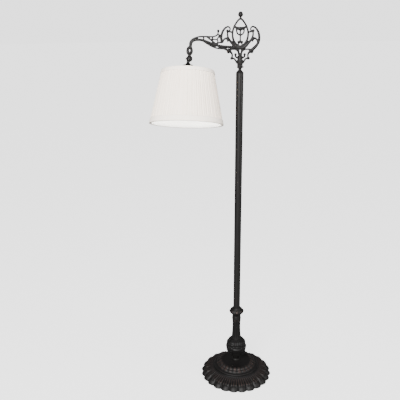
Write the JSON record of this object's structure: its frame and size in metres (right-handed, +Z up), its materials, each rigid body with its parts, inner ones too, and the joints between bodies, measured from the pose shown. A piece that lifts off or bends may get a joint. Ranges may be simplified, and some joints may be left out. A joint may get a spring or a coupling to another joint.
{
  "type": "bridge floor lamp",
  "caption": "Floor lamp with a scalloped cast base, slim tube, openwork bridge arm and a pleated shade that tilts on a swivel.",
  "frame": {"origin": "on the floor under the base, on the pole tube's axis", "axes": "+Z up along the pole tube, -X towards the shade along the bridge arm, -Y towards the viewer of the picture"},
  "size_m": [0.5129, 0.3706, 1.5995],
  "materials": {
    "bronzed_casting": "satin oil-rubbed bronze finish with reddish rubbed edges",
    "raw_iron": "rough foundry skin",
    "bronzed_steel": "satin dark bronze lacquer",
    "bronzed_brass": "dark bronzed brass",
    "plated_steel": "zinc plated",
    "dark_screw": "dark bronzed screw",
    "holder_brass": "plain brass",
    "bulb_cap_metal": "rolled thread",
    "bulb_glass": "frosted",
    "fibre_liner": "vulcanised fibre",
    "holder_plastic": "moulded phenolic",
    "key_plastic": "moulded phenolic",
    "lock_ring_plastic": "moulded phenolic",
    "pleated_cloth": "off-white pleated cloth",
    "lining_cloth": "white lining",
    "braid": "woven edge braid",
    "felt": "dark felt",
    "bushing_plastic": "moulded"
  },
  "bodies": {
    "stand": {"base_felt": "felt", "base_casting": "bronzed_casting", "cord_bushing": "bushing_plastic", "base_weight": "raw_iron", "base_washer": "plated_steel", "base_nut": "plated_steel", "spool_neck": "bronzed_casting", "urn_casting": "bronzed_casting", "stem_casting": "bronzed_casting", "knop_ring": "bronzed_casting", "pole_tube": "bronzed_steel", "pole_cap": "bronzed_steel", "tie_pipe": "plated_steel"},
    "bridge": {"bridge_casting": "bronzed_casting", "finial": "bronzed_casting", "lock_screw": "dark_screw", "swivel_upper": "bronzed_brass", "swivel_screw": "dark_screw", "swivel_nipple": "plated_steel"},
    "shade_head": {"swivel_lower": "bronzed_brass", "socket_cap": "bronzed_brass", "socket_shell": "holder_brass", "socket_liner": "fibre_liner", "socket_insert": "holder_plastic", "screw_shell": "holder_brass", "centre_contact": "holder_brass", "bulb_cap": "bulb_cap_metal", "bulb_glass": "bulb_glass", "key_bushing": "holder_brass", "shade_cover": "pleated_cloth", "shade_lining": "lining_cloth", "trim_top": "braid", "trim_bottom": "braid", "shade_frame": "plated_steel", "shade_fitter": "plated_steel", "shade_lock_ring": "lock_ring_plastic"},
    "key": {"switch_key": "key_plastic"}
  },
  "joints": [
    {"name": "arm_swing", "type": "hinge", "parent": "stand", "child": "bridge", "pos_m": [0, 0, 1.3885], "axis": [0, 0, 1], "range_deg": [-175, 175]},
    {"name": "shade_tilt", "type": "hinge", "parent": "bridge", "child": "shade_head", "pos_m": [-0.197, 0, 1.4265], "axis": [0.9993, 0, -0.0384], "range_deg": [-73.8, 106.2]},
    {"name": "key_turn", "type": "hinge", "parent": "shade_head", "child": "key", "pos_m": [-0.18805, -0.01091, 1.38858], "axis": [0.9993, 0, -0.0384], "continuous": true}
  ]
}
